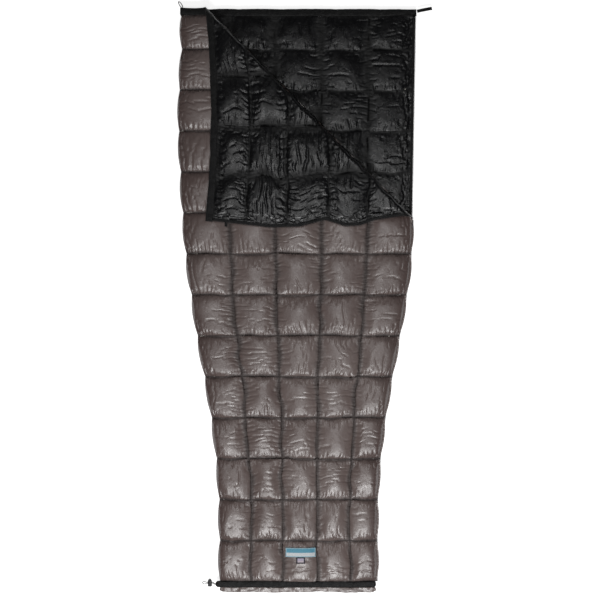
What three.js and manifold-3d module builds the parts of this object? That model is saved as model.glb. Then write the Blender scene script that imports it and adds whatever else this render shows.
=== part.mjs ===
// Box-quilted down camp quilt, lying flat and zipped at the foot, with the head corner of its
// front panel folded back. Millimetres, +Z up, head towards +Y, resting on Z = 0.
import * as THREE from 'three';
import { mergeVertices } from 'three/addons/utils/BufferGeometryUtils.js';
import Module from 'manifold-3d';

const wasm = await Module();
wasm.setup();

// Overall sizes
const LENGTH = 1930;
const HEAD_WIDTH = 782;
const KNEE_WIDTH = 756;
const FOOT_WIDTH = 525;
const KNEE_AT = 0.62; // share of the length, from the foot, where the taper starts
const TAPER_END = 0.1; // share of the length, from the foot, where the taper ends
const TAPER_LEAN = 1.2; // over 1 holds the foot's width longer
const LOFT = 22; // thickness of one panel in the middle of a cell
const SEAM_SHARE = 0.72; // loft on the shell's side of a seam: the lining is cut smaller than the shell
const INNER_GAP = 6; // height of the sleeping space between the two panels

// Quilting
const ROWS = 14;
const ORIGIN_ROW = 6; // the row, counted from 0 at the foot, whose middle is the origin
const COLUMN_SEAMS = [-0.6, -0.2, 0.2, 0.6]; // shares of the half width
const CELL_SLOPE = 30; // run of each cell's side, from seam to plateau
const FABRIC = 0.8; // one layer of shell or lining
const GAP = 0.3; // clearance between pieces that touch
const NECK = 0.4; // down left at a quilting seam

// Edges
const HEM = 22; // head hem, along Y
const HEM_THICK = 5;
const CHANNEL = 20; // foot drawcord channel, along Y
const CHANNEL_THICK = 9;
const CHANNEL_WALL = 1.6;
const CHANNEL_POKE = 12; // the front channel's end past the left side
const FOOT_EDGE = 15; // strip of shell fabric beyond the channel
const FOOT_EDGE_THICK = 3;
const SEAM_ALLOWANCE = 18; // flat strip beside the zip
const BINDING = 2; // side seam's binding
const BINDING_TALL = 12;

// Zip
const TAPE_REACH = 4; // tape past the fabric's edge
const TAPE_THICK = 1.2;
const COIL_RADIUS = 1.2;
const STOP_LONG = 4;
const SLIDER_LONG = 14;
const SLIDER_WIDE = 8;
const SLIDER_PLATE = 1.6;
const SLIDER_BELOW_FOLD = 13; // slider's middle below the fold's end
const PULL_LONG = 20;
const PULL_WIDE = 6.4;
const PULL_BAR = 1.2;

// Folded corner
const FOLD_INSET = 85; // fold's start on the head edge, from the left corner
const FOLD_DEPTH = 695; // fold's end on the right side, from the head edge
const FOLD_GAP = 0.4;

// Drawcord and its lock
const CORD_RADIUS = 1.1;
const STRAND_GAP = 0.5;
const CORD_INSET = 8; // where the cord is sewn down, from the channel's right end
const LOCK_OFFSET = 32; // lock's middle past the left side
const LOOP_REACH = 25; // cord's loop past the lock
const BARREL_RADIUS = 7;
const BARREL_LONG = 19.5;
const BARREL_BORE = 5;
const BARREL_FLOOR = 1.5;
const BUTTON_RADIUS = 4.6;
const BUTTON_REST = 7.2; // button's lower end, from the barrel's closed end
const BUTTON_TOP = 24;
const BUTTON_TRAVEL = 4;
const CORD_AT = 11.5; // cord hole's middle, from the barrel's closed end

// Small sewn parts
const LABEL = { wide: 99, tall: 30, drop: 32 };
const TAG = { wide: 29, tall: 21 };
const LOOP = { long: 27, wide: 10, band: 2.6, thick: 2 };
const STRAP = { long: 52, wide: 11, thick: 1.8 };
const TAB = { long: 11, wide: 9, thick: 1.4, below: 69 };

const ROW = (LENGTH - FOOT_EDGE - CHANNEL) / ROWS;
const FOOT_Y = -(FOOT_EDGE + CHANNEL + (ORIGIN_ROW + 0.5) * ROW);
const HEAD_Y = FOOT_Y + LENGTH;
const CHANNEL_Y = FOOT_Y + FOOT_EDGE + CHANNEL / 2;
const FOOT_SEAM = FOOT_Y + FOOT_EDGE + CHANNEL;
const HEAD_SEAM = HEAD_Y - HEM;
const SEAM_THICK = 2 * FABRIC + 2 * GAP + NECK;
const ZIP_Z = LOFT + INNER_GAP / 2;
const FOLD_Z = 2 * LOFT + INNER_GAP + FOLD_GAP / 2;

// Each panel: bottom, top, height of the inner seams and of the two side edges.
const BACK = { low: 0, high: LOFT, seam: LOFT * SEAM_SHARE, side: LOFT - SEAM_THICK / 2 };
const FRONT = {
  low: LOFT + INNER_GAP,
  high: 2 * LOFT + INNER_GAP,
  seam: LOFT + INNER_GAP + LOFT * (1 - SEAM_SHARE),
  side: LOFT + INNER_GAP + SEAM_THICK / 2,
};

const LOOKS = {
  shell: { color: 0x7a6f6b, roughness: 0.45, metalness: 0 },
  lining: { color: 0x141416, roughness: 0.4, metalness: 0 },
  down: { color: 0xe8e4da, roughness: 0.95, metalness: 0 },
  trim: { color: 0x1c1c1d, roughness: 0.85, metalness: 0 },
  coil: { color: 0x202022, roughness: 0.4, metalness: 0 },
  metal: { color: 0x8a8a8c, roughness: 0.35, metalness: 0.9 },
  plastic: { color: 0x161617, roughness: 0.5, metalness: 0 },
  spring: { color: 0xa5a6a8, roughness: 0.3, metalness: 1 },
  cord: { color: 0x242426, roughness: 0.8, metalness: 0 },
  label: { color: 0x8fb0b8, roughness: 0.7, metalness: 0 },
  tag: { color: 0xc9c3cc, roughness: 0.7, metalness: 0 },
};

const quilt = new THREE.Group();
quilt.name = 'camp_quilt';

function add(name, geometry, look) {
  const mesh = new THREE.Mesh(geometry, new THREE.MeshStandardMaterial(LOOKS[look]));
  mesh.name = name;
  quilt.add(mesh);
  return mesh;
}

function mix(a, b, t) {
  return a + (b - a) * t;
}

// Half of the width at a height y: straight above the knee, a soft S below it.
function halfWidth(y) {
  const t = (y - FOOT_Y) / LENGTH;
  if (t >= KNEE_AT) {
    return mix(KNEE_WIDTH, HEAD_WIDTH, (t - KNEE_AT) / (1 - KNEE_AT)) / 2;
  }
  const s = Math.max(0, (t - TAPER_END) / (KNEE_AT - TAPER_END)) ** TAPER_LEAN;
  return mix(FOOT_WIDTH, KNEE_WIDTH, s * s * (3 - 2 * s)) / 2;
}

function fabricEdge(y) {
  return halfWidth(y) - TAPE_REACH - 2 * COIL_RADIUS;
}

function coilX(y) {
  return halfWidth(y) - COIL_RADIUS;
}

// Solids in and out of the cutter
function toSolid(geometry) {
  const bare = geometry.clone();
  bare.deleteAttribute('normal');
  bare.deleteAttribute('uv');
  const merged = mergeVertices(bare, 1e-4);
  return new wasm.Manifold(new wasm.Mesh({
    numProp: 3,
    vertProperties: new Float32Array(merged.attributes.position.array),
    triVerts: new Uint32Array(merged.index.array),
  }));
}

function toGeometry(solid) {
  const mesh = solid.getMesh();
  const geometry = new THREE.BufferGeometry();
  geometry.setAttribute('position', new THREE.BufferAttribute(mesh.vertProperties, 3));
  geometry.setIndex(new THREE.BufferAttribute(mesh.triVerts, 1));
  return geometry;
}

function box(x0, x1, y0, y1, z0, z1) {
  const geometry = new THREE.BoxGeometry(x1 - x0, y1 - y0, z1 - z0);
  geometry.translate((x0 + x1) / 2, (y0 + y1) / 2, (z0 + z1) / 2);
  return geometry;
}

// The seam lines: rows up the quilt, columns across it, then the flat strip beside the zip.
const rowLines = Array.from({ length: ROWS }, (_, i) => FOOT_SEAM + i * ROW);
rowLines.push(HEAD_SEAM);

function columnLines(y) {
  const half = halfWidth(y);
  const inner = COLUMN_SEAMS.map((share) => share * half);
  const edge = fabricEdge(y);
  return [-half + BINDING + GAP, ...inner, edge - SEAM_ALLOWANCE, edge];
}

const columns = columnLines(0).length - 1;

// One layer of a panel: a closed sheet whose two faces follow the cells.
// low and high give a face's height from the panel's own bottom and top there.
function quiltedLayer(panel, low, high) {
  const plan = [];
  const cellFaces = [];
  const seamIndex = (i, j) => j * (columns + 1) + i;
  rowLines.forEach((y) => columnLines(y).forEach((x, i) => {
    const side = i === 0 || i >= columns - 1;
    const z = side ? panel.side : panel.seam;
    plan.push({ x, y, bottom: z - SEAM_THICK / 2, top: z + SEAM_THICK / 2 });
  }));
  for (let j = 0; j < rowLines.length - 1; j += 1) {
    for (let i = 0; i < columns; i += 1) {
      const ring = [seamIndex(i, j), seamIndex(i + 1, j), seamIndex(i + 1, j + 1), seamIndex(i, j + 1)];
      if (i === columns - 1) {
        cellFaces.push([ring[0], ring[1], ring[2]], [ring[0], ring[2], ring[3]]);
      } else {
        const first = plan.length;
        ring.forEach((corner, k) => {
          const from = plan[corner];
          const stepX = k === 0 || k === 3 ? CELL_SLOPE : -CELL_SLOPE;
          const stepY = k < 2 ? CELL_SLOPE : -CELL_SLOPE;
          plan.push({ x: from.x + stepX, y: from.y + stepY, bottom: panel.low, top: panel.high });
        });
        for (let k = 0; k < 4; k += 1) {
          const next = (k + 1) % 4;
          cellFaces.push([ring[k], ring[next], first + next], [ring[k], first + next, first + k]);
        }
        cellFaces.push([first, first + 1, first + 2], [first, first + 2, first + 3]);
      }
    }
  }
  const rim = [];
  for (let i = 0; i < columns; i += 1) {
    rim.push([seamIndex(i, 0), seamIndex(i + 1, 0)]);
    rim.push([seamIndex(i + 1, rowLines.length - 1), seamIndex(i, rowLines.length - 1)]);
  }
  for (let j = 0; j < rowLines.length - 1; j += 1) {
    rim.push([seamIndex(columns, j), seamIndex(columns, j + 1)]);
    rim.push([seamIndex(0, j + 1), seamIndex(0, j)]);
  }
  const count = plan.length;
  const points = [];
  plan.forEach((p) => points.push(p.x, p.y, low(p)));
  plan.forEach((p) => points.push(p.x, p.y, high(p)));
  const faces = [];
  cellFaces.forEach(([a, b, c]) => faces.push(a, c, b, a + count, b + count, c + count));
  rim.forEach(([a, b]) => faces.push(a, b, b + count, a, b + count, a + count));
  const geometry = new THREE.BufferGeometry();
  geometry.setAttribute('position', new THREE.Float32BufferAttribute(points, 3));
  geometry.setIndex(faces);
  return geometry;
}

const lowerSheet = [(p) => p.bottom, (p) => p.bottom + FABRIC];
const filling = [(p) => p.bottom + FABRIC + GAP, (p) => p.top - FABRIC - GAP];
const upperSheet = [(p) => p.top - FABRIC, (p) => p.top];

// A band along the X axis with a rounded section; a wall makes it a hollow channel.
function crossBand(x0, x1, y, z, wide, thick, wall = 0) {
  const outline = (w, t, target) => {
    const bevel = t * 0.35;
    const corners = [
      [-w / 2 + bevel, -t / 2], [w / 2 - bevel, -t / 2], [w / 2, -t / 2 + bevel], [w / 2, t / 2 - bevel],
      [w / 2 - bevel, t / 2], [-w / 2 + bevel, t / 2], [-w / 2, t / 2 - bevel], [-w / 2, -t / 2 + bevel],
    ];
    target.setFromPoints(corners.map(([a, b]) => new THREE.Vector2(a, b)));
    return target;
  };
  const shape = outline(wide, thick, new THREE.Shape());
  if (wall > 0) {
    shape.holes.push(outline(wide - 2 * wall, thick - 2 * wall, new THREE.Path()));
  }
  const geometry = new THREE.ExtrudeGeometry(shape, { depth: x1 - x0, bevelEnabled: false, steps: 1 });
  // section X becomes world Y, section Y becomes world Z, the extrusion runs along world X
  geometry.applyMatrix4(new THREE.Matrix4().makeBasis(
    new THREE.Vector3(0, 1, 0), new THREE.Vector3(0, 0, 1), new THREE.Vector3(1, 0, 0)));
  geometry.translate(x0, y, z);
  return geometry;
}

function evenly(y0, y1, steps) {
  return Array.from({ length: steps + 1 }, (_, i) => mix(y0, y1, i / steps));
}

// A flat strip between two lines that both run up the quilt.
function upStrip(inner, outer, heights, z0, z1) {
  const right = heights.map((y) => new THREE.Vector2(outer(y), y));
  const left = heights.map((y) => new THREE.Vector2(inner(y), y)).reverse();
  const shape = new THREE.Shape([...right, ...left]);
  const geometry = new THREE.ExtrudeGeometry(shape, { depth: z1 - z0, bevelEnabled: false, steps: 1 });
  geometry.translate(0, 0, z0);
  return geometry;
}

// A curve that gives each span between two points the same number of steps.
class SpanCurve extends THREE.CatmullRomCurve3 {
  getPointAt(u, target) {
    return this.getPoint(u, target);
  }

  getTangentAt(u, target) {
    return this.getTangent(u, target);
  }
}

function roundTube(points, radius, sides, steps, tension = 0.5) {
  const shape = new THREE.Shape();
  for (let i = 0; i < sides; i += 1) {
    const a = (i / sides) * Math.PI * 2;
    shape[i === 0 ? 'moveTo' : 'lineTo'](Math.cos(a) * radius, Math.sin(a) * radius);
  }
  const path = new SpanCurve(points, false, 'catmullrom', tension);
  return new THREE.ExtrudeGeometry(shape, { extrudePath: path, steps, bevelEnabled: false });
}

// The fold: its line, and the half of the front panel on the folded side.
const foldStart = new THREE.Vector3(-HEAD_WIDTH / 2 + FOLD_INSET, HEAD_Y, FOLD_Z);
const foldEnd = new THREE.Vector3(halfWidth(HEAD_Y - FOLD_DEPTH), HEAD_Y - FOLD_DEPTH, FOLD_Z);
const foldLine = foldEnd.clone().sub(foldStart).normalize();
const foldAngle = Math.atan2(foldLine.y, foldLine.x);

function foldSide(side) {
  const reach = LENGTH * 2;
  const half = box(-reach, reach, GAP / 2, reach, -reach, reach);
  half.rotateZ(foldAngle);
  if (side < 0) {
    half.rotateZ(Math.PI);
  }
  half.translate(foldStart.x, foldStart.y, 0);
  return toSolid(half);
}

const cornerHalf = foldSide(1);
const bodyHalf = foldSide(-1);

function turnOver(geometry) {
  geometry.translate(-foldStart.x, -foldStart.y, -foldStart.z);
  geometry.applyMatrix4(new THREE.Matrix4().makeRotationAxis(foldLine, Math.PI));
  geometry.translate(foldStart.x, foldStart.y, foldStart.z);
  return geometry;
}

// A front piece that crosses the fold: one part stays, the other turns over with the corner.
function addFolded(piece, geometry, look) {
  const whole = toSolid(geometry);
  add(`front_${piece}`, toGeometry(whole.intersect(bodyHalf)), look);
  add(`flap_${piece}`, turnOver(toGeometry(whole.intersect(cornerHalf))), look);
}

// Back panel, shell down and lining up
add('back_shell', quiltedLayer(BACK, ...lowerSheet), 'shell');
add('back_down', quiltedLayer(BACK, ...filling), 'down');
add('back_lining', quiltedLayer(BACK, ...upperSheet), 'lining');

// Front panel, lining down and shell up, with its head corner folded back
addFolded('lining', quiltedLayer(FRONT, ...lowerSheet), 'lining');
addFolded('down', quiltedLayer(FRONT, ...filling), 'down');
addFolded('shell', quiltedLayer(FRONT, ...upperSheet), 'shell');

// Head hems
const headHalf = HEAD_WIDTH / 2;
const hemY = HEAD_Y - HEM / 2 + GAP / 2;
const hemWide = HEM - GAP;
add('back_head_hem', crossBand(-headHalf, headHalf, hemY, BACK.seam, hemWide, HEM_THICK), 'trim');
addFolded('head_hem', crossBand(-headHalf, headHalf, hemY, FRONT.seam, hemWide, HEM_THICK), 'trim');

// Foot channels and the strips of shell fabric beyond them
const footHalf = FOOT_WIDTH / 2;
const footRight = footHalf - TAPE_REACH - 2 * COIL_RADIUS;
[['back', BACK, 0], ['front', FRONT, CHANNEL_POKE]].forEach(([side, panel, poke]) => {
  const channel = crossBand(-footHalf - poke, footRight, CHANNEL_Y, panel.seam,
    CHANNEL - 2 * GAP, CHANNEL_THICK, CHANNEL_WALL);
  add(`${side}_foot_channel`, channel, 'trim');
  const strip = crossBand(-footHalf + BINDING, footRight, FOOT_Y + FOOT_EDGE / 2, panel.seam,
    FOOT_EDGE, FOOT_EDGE_THICK);
  add(`${side}_foot_edge`, strip, 'shell');
});

// Side seam's binding down the left, where the two shells are sewn together
const binding = upStrip((y) => -halfWidth(y), (y) => -halfWidth(y) + BINDING, rowLines,
  ZIP_Z - BINDING_TALL / 2, ZIP_Z + BINDING_TALL / 2);
add('side_seam', binding, 'trim');

// Zip: each half is a tape sewn on the lining side and a coil along its outer edge
const zipFoot = FOOT_SEAM;
const zipHead = HEAD_SEAM - STOP_LONG - GAP;
const tapeInner = (y) => fabricEdge(y) - SEAM_ALLOWANCE + GAP;
const tapeOuter = (y) => fabricEdge(y) + TAPE_REACH - GAP;
function zipTape(z0) {
  return upStrip(tapeInner, tapeOuter, evenly(zipFoot, HEAD_SEAM - GAP, 40), z0, z0 + TAPE_THICK);
}
function zipCoil(z) {
  const heights = evenly(zipFoot + STOP_LONG + GAP, zipHead, 32);
  const points = heights.map((y) => new THREE.Vector3(coilX(y), y, z));
  return roundTube(points, COIL_RADIUS, 8, heights.length - 1);
}
const coilDrop = COIL_RADIUS + GAP / 2;
add('back_zip_tape', zipTape(LOFT + GAP), 'trim');
add('back_zip_coil', zipCoil(ZIP_Z - coilDrop), 'coil');
addFolded('zip_tape', zipTape(FRONT.low - GAP - TAPE_THICK), 'trim');
addFolded('zip_coil', zipCoil(ZIP_Z + coilDrop), 'coil');

// Zip stops: one at the foot across both coils, one at the head end of each coil
const stopX = coilX(zipFoot);
add('zip_foot_stop', box(stopX - COIL_RADIUS, stopX + COIL_RADIUS, zipFoot, zipFoot + STOP_LONG,
  ZIP_Z - 2 * COIL_RADIUS - GAP, ZIP_Z + 2 * COIL_RADIUS + GAP), 'metal');
function headStop(z) {
  const x = coilX(zipHead);
  return box(x - COIL_RADIUS, x + COIL_RADIUS, zipHead + GAP, zipHead + STOP_LONG,
    z - COIL_RADIUS, z + COIL_RADIUS);
}
add('back_head_stop', headStop(ZIP_Z - coilDrop), 'metal');
add('flap_head_stop', turnOver(headStop(ZIP_Z + coilDrop)), 'metal');

// Slider: two plates and a wall around both coils, open towards the tapes, with a bridge on top
const sliderY = HEAD_Y - FOLD_DEPTH - SLIDER_BELOW_FOLD;
const sliderLean = Math.atan2(halfWidth(sliderY + SLIDER_LONG / 2) - halfWidth(sliderY - SLIDER_LONG / 2),
  SLIDER_LONG);
const slotHalf = 2 * COIL_RADIUS + GAP / 2 + GAP;
const sliderTop = slotHalf + SLIDER_PLATE;
const bridgeHigh = 3.4;
const bridgeHalf = 3.6;
const sliderInner = -SLIDER_WIDE + COIL_RADIUS + GAP + SLIDER_PLATE;
const sliderOuter = COIL_RADIUS + GAP + SLIDER_PLATE;
const bridgeX = (sliderInner + sliderOuter) / 2;

function placeOnZip(geometry) {
  geometry.rotateZ(-sliderLean);
  geometry.translate(coilX(sliderY), sliderY, ZIP_Z);
  return geometry;
}

function sliderBody() {
  const half = SLIDER_LONG / 2;
  const block = toSolid(box(sliderInner, sliderOuter, -half, half, -sliderTop, sliderTop));
  const slot = toSolid(box(sliderInner - 1, sliderOuter - SLIDER_PLATE, -half - 1, half + 1,
    -slotHalf, slotHalf));
  const arch = toSolid(box(bridgeX - PULL_BAR / 2, bridgeX + PULL_BAR / 2, -bridgeHalf, bridgeHalf,
    sliderTop - PULL_BAR / 2, sliderTop + bridgeHigh));
  const window = toSolid(box(bridgeX - PULL_BAR, bridgeX + PULL_BAR, -bridgeHalf + PULL_BAR,
    bridgeHalf - PULL_BAR, sliderTop, sliderTop + bridgeHigh - PULL_BAR));
  return toGeometry(block.subtract(slot).add(arch.subtract(window)));
}
add('zip_slider', placeOnZip(sliderBody()), 'metal');

// Pull: a flat tab whose bar turns in the bridge
const pullZ = sliderTop + PULL_BAR / 2 + GAP;
const pullSide = PULL_WIDE / 2;
const pullEye = bridgeHalf + 2.2;
function pullTab() {
  const blank = toSolid(box(bridgeX - pullSide, bridgeX + pullSide, -PULL_LONG, PULL_BAR / 2,
    pullZ - PULL_BAR / 2, pullZ + PULL_BAR / 2));
  const eye = toSolid(box(bridgeX - pullSide + PULL_BAR, bridgeX + pullSide - PULL_BAR,
    -pullEye, -PULL_BAR / 2, pullZ - PULL_BAR, pullZ + PULL_BAR));
  return toGeometry(blank.subtract(eye));
}
add('zip_pull', placeOnZip(pullTab()), 'metal');

// Foot drawcord: sewn down at the zip side, out through the left ends of both channels
const lockX = -footHalf - LOCK_OFFSET;
const lockZ = BARREL_RADIUS + GAP;
const strand = CORD_RADIUS + STRAND_GAP / 2;
const cordRight = footRight - CORD_INSET;
const cordPath = [
  [cordRight, 0, BACK.seam], [0, 0, BACK.seam], [-footHalf + 6, 0, BACK.seam],
  [-footHalf - 8, -1, BACK.seam - 1.5], [lockX + 8, -strand, lockZ], [lockX, -strand, lockZ],
  [lockX - 8, -strand, lockZ],
  [lockX - LOOP_REACH + 5, -4.5, lockZ - 2], [lockX - LOOP_REACH, 0, lockZ - 3],
  [lockX - LOOP_REACH + 5, 4.5, lockZ - 2], [lockX - 8, strand, lockZ], [lockX, strand, lockZ],
  [lockX + 8, strand, lockZ],
  [-footHalf - CHANNEL_POKE - 6, 1.2, lockZ + 5], [-footHalf - CHANNEL_POKE - 5, 0.6, FRONT.seam - 8],
  [-footHalf - CHANNEL_POKE - 2, 0, FRONT.seam - 0.6], [-footHalf - CHANNEL_POKE + 4, 0, FRONT.seam],
  [-footHalf + 6, 0, FRONT.seam],
  [0, 0, FRONT.seam], [cordRight, 0, FRONT.seam],
].map(([x, y, z]) => new THREE.Vector3(x, CHANNEL_Y + y, z));
add('foot_drawcord', roundTube(cordPath, CORD_RADIUS, 8, 80, 0.35), 'cord');

// Cord lock lying on its side: barrel, spring and button on one axis along Y
const lockY = CHANNEL_Y - CORD_AT;
const slotHigh = CORD_RADIUS + 3 * GAP;
const slotLong = 2 * CORD_RADIUS + STRAND_GAP / 2 + 2 * GAP;

function layOnSide(geometry) {
  geometry.translate(lockX, lockY, lockZ);
  return geometry;
}

function lathe(profile) {
  const points = profile.map(([r, h]) => new THREE.Vector2(r, h));
  const geometry = new THREE.LatheGeometry(points, 20);
  geometry.deleteAttribute('normal');
  geometry.deleteAttribute('uv');
  return mergeVertices(geometry, 1e-4);
}

function cordSlot(extra) {
  return toSolid(box(-BARREL_RADIUS * 2, BARREL_RADIUS * 2, CORD_AT - slotLong,
    CORD_AT + slotLong + extra, -slotHigh, slotHigh));
}

const barrel = toSolid(lathe([
  [0, 0], [BARREL_RADIUS - 1, 0], [BARREL_RADIUS, 1], [BARREL_RADIUS, BARREL_LONG],
  [BARREL_BORE, BARREL_LONG], [BARREL_BORE, BARREL_FLOOR], [0, BARREL_FLOOR],
]));
add('lock_barrel', layOnSide(toGeometry(barrel.subtract(cordSlot(0)))), 'plastic');

const button = toSolid(lathe([
  [0, BUTTON_REST], [BUTTON_RADIUS, BUTTON_REST], [BUTTON_RADIUS, BUTTON_TOP - 1],
  [BUTTON_RADIUS - 1, BUTTON_TOP], [0, BUTTON_TOP],
]));
add('lock_button', layOnSide(toGeometry(button.subtract(cordSlot(BUTTON_TRAVEL)))), 'plastic');

const SPRING = { radius: 3.2, wire: 0.4, turns: 3 };
const springLow = BARREL_FLOOR + GAP + SPRING.wire;
const springHigh = BUTTON_REST - GAP - SPRING.wire;
const springPath = Array.from({ length: 37 }, (_, i) => {
  const a = (i / 36) * SPRING.turns * Math.PI * 2;
  return new THREE.Vector3(Math.cos(a) * SPRING.radius, mix(springLow, springHigh, i / 36),
    Math.sin(a) * SPRING.radius);
});
add('lock_spring', layOnSide(roundTube(springPath, SPRING.wire, 6, 54)), 'spring');

// Woven label and small tag on the foot row of the front panel
const labelY = FOOT_SEAM + ROW - LABEL.drop;
const onFront = FRONT.high + GAP;
add('woven_label', box(-LABEL.wide / 2 + 7, LABEL.wide / 2 + 7, labelY - LABEL.tall / 2,
  labelY + LABEL.tall / 2, onFront, onFront + FABRIC), 'label');
const tagTop = labelY - LABEL.tall / 2 - GAP;
add('small_tag', box(-TAG.wide / 2 + 7, TAG.wide / 2 + 7, tagTop - TAG.tall, tagTop,
  onFront, onFront + FABRIC), 'tag');

// Corner loop at the head's left end, a closed ribbon seen edge-on
function ribbonLoop(long, wide, band, thick) {
  const shape = new THREE.Shape();
  shape.absellipse(0, 0, long / 2, wide / 2, 0, Math.PI * 2, false, 0);
  const hole = new THREE.Path();
  hole.absellipse(0, 0, long / 2 - band, wide / 2 - band, 0, Math.PI * 2, false, 0);
  shape.holes.push(hole);
  return new THREE.ExtrudeGeometry(shape, {
    depth: thick, bevelEnabled: false, steps: 1, curveSegments: 12,
  });
}
const cornerLoop = ribbonLoop(LOOP.long, LOOP.wide, LOOP.band, LOOP.thick);
cornerLoop.rotateZ(Math.PI * 0.68);
cornerLoop.translate(-headHalf, HEAD_Y + GAP + LOOP.long / 2, BACK.seam - LOOP.thick / 2);
add('corner_loop', cornerLoop, 'trim');

// Corner strap at the head's right end, with its end turned down
const strapShape = new THREE.Shape([
  [0, 0], [STRAP.long - 5, 0], [STRAP.long - 1, -5], [STRAP.long + STRAP.thick - 1, -4],
  [STRAP.long - 4, STRAP.thick], [0, STRAP.thick],
].map(([x, z]) => new THREE.Vector2(x, z)));
const strap = new THREE.ExtrudeGeometry(strapShape, {
  depth: STRAP.wide, bevelEnabled: false, steps: 1,
});
strap.rotateX(Math.PI / 2);
strap.rotateZ(0.2);
strap.translate(headHalf + 2.6, HEAD_Y - 2, BACK.seam);
add('corner_strap', strap, 'trim');

// Small tab on the folded corner's zip edge
const tabY = HEAD_Y - TAB.below;
add('flap_tab', turnOver(box(halfWidth(tabY) + GAP, halfWidth(tabY) + TAB.long,
  tabY - TAB.wide / 2, tabY + TAB.wide / 2, ZIP_Z + GAP, ZIP_Z + GAP + TAB.thick)), 'trim');

export default quilt;
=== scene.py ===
"""Camp quilt for Blender 4.5: simulated cloth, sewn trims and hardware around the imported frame."""

import math

import bmesh
import bpy
import numpy as np
from mathutils import Matrix, Vector


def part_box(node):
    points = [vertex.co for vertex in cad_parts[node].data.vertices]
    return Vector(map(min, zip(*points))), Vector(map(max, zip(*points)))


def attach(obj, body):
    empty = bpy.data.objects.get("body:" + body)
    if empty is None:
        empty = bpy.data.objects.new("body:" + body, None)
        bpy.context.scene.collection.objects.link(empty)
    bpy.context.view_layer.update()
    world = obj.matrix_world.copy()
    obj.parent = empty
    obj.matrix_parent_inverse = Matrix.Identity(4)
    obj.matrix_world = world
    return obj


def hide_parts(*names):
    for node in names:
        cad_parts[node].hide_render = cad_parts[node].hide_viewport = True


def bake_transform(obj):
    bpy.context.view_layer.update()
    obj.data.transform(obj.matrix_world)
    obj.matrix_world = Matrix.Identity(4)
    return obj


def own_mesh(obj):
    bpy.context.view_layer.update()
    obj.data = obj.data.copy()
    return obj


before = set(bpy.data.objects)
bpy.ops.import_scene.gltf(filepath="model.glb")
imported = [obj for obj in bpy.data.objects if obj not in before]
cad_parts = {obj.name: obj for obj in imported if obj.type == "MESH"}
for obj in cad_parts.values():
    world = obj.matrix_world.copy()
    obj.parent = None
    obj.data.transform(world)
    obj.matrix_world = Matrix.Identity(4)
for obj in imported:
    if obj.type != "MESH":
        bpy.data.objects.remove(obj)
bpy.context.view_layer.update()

# ---------------------------------------------------------------- sizes, in metres
LENGTH = 1.930
HEAD_WIDTH = 0.782
KNEE_WIDTH = 0.756
FOOT_WIDTH = 0.525
KNEE_AT = 0.62
TAPER_END = 0.1
TAPER_LEAN = 1.2
LOFT = 0.022
SEAM_SHARE = 0.72
INNER_GAP = 0.006
ROWS = 14
ORIGIN_ROW = 6
COLUMN_SEAMS = (-0.6, -0.2, 0.2, 0.6)
HEM = 0.022
HEM_THICK = 0.005
CHANNEL = 0.020
CHANNEL_THICK = 0.009
CHANNEL_POKE = 0.012
FOOT_EDGE = 0.015
FOOT_EDGE_THICK = 0.003
TAPE_REACH = 0.004
TAPE_THICK = 0.0012
COIL_RADIUS = 0.0012
GAP = 0.0003
FOLD_INSET = 0.085
FOLD_DEPTH = 0.695
CORD_RADIUS = 0.0011
STRAND_GAP = 0.0005
LOCK_OFFSET = 0.032
LOOP_REACH = 0.025

ROW = (LENGTH - FOOT_EDGE - CHANNEL) / ROWS
FOOT_Y = -(FOOT_EDGE + CHANNEL + (ORIGIN_ROW + 0.5) * ROW)
HEAD_Y = FOOT_Y + LENGTH
CHANNEL_Y = FOOT_Y + FOOT_EDGE + CHANNEL / 2
FOOT_SEAM = FOOT_Y + FOOT_EDGE + CHANNEL
HEAD_SEAM = HEAD_Y - HEM
ZIP_Z = LOFT + INNER_GAP / 2
FOLD_END_Y = HEAD_Y - FOLD_DEPTH
FOLD_Z = 2 * LOFT + INNER_GAP + 0.0002
BACK_SEAM_Z = LOFT * SEAM_SHARE
FRONT_SEAM_Z = LOFT + INNER_GAP + LOFT * (1 - SEAM_SHARE)
HALF_SEAM = 0.0013  # from a seam's middle to the outside of the fabric
SIDE_LOW = LOFT - HALF_SEAM
SIDE_HIGH = LOFT + INNER_GAP + HALF_SEAM

DETAIL = 42  # cloth spans across one cell
FOOT_RIGHT = FOOT_WIDTH / 2 - TAPE_REACH - 2 * COIL_RADIUS


def half_width(y):
    t = (np.asarray(y, float) - FOOT_Y) / LENGTH
    straight = KNEE_WIDTH + (HEAD_WIDTH - KNEE_WIDTH) * (t - KNEE_AT) / (1 - KNEE_AT)
    s = np.clip((t - TAPER_END) / (KNEE_AT - TAPER_END), 0, 1) ** TAPER_LEAN
    taper = FOOT_WIDTH + (KNEE_WIDTH - FOOT_WIDTH) * s * s * (3 - 2 * s)
    return np.where(t >= KNEE_AT, straight, taper) / 2


def fabric_edge(y):
    return half_width(y) - TAPE_REACH - 2 * COIL_RADIUS


def smooth(t):
    t = np.clip(t, 0, 1)
    return t * t * (3 - 2 * t)


# ---------------------------------------------------------------- camera and light
CAMERA_AT = (-0.0033, 0.0584, 4.676)


def make_camera():
    data = bpy.data.cameras.new("camera")
    data.lens = 85
    data.sensor_width = 36
    camera = bpy.data.objects.new("camera", data)
    camera.location = CAMERA_AT
    bpy.context.collection.objects.link(camera)
    bpy.context.scene.camera = camera


def area_light(name, at, aim, size, power):
    data = bpy.data.lights.new(name, "AREA")
    data.shape = "RECTANGLE"
    data.size, data.size_y = size
    data.energy = power
    light = bpy.data.objects.new(name, data)
    light.location = at
    light.rotation_euler = (Vector(aim) - Vector(at)).to_track_quat("-Z", "Y").to_euler()
    light.visible_camera = False
    bpy.context.collection.objects.link(light)


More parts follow.
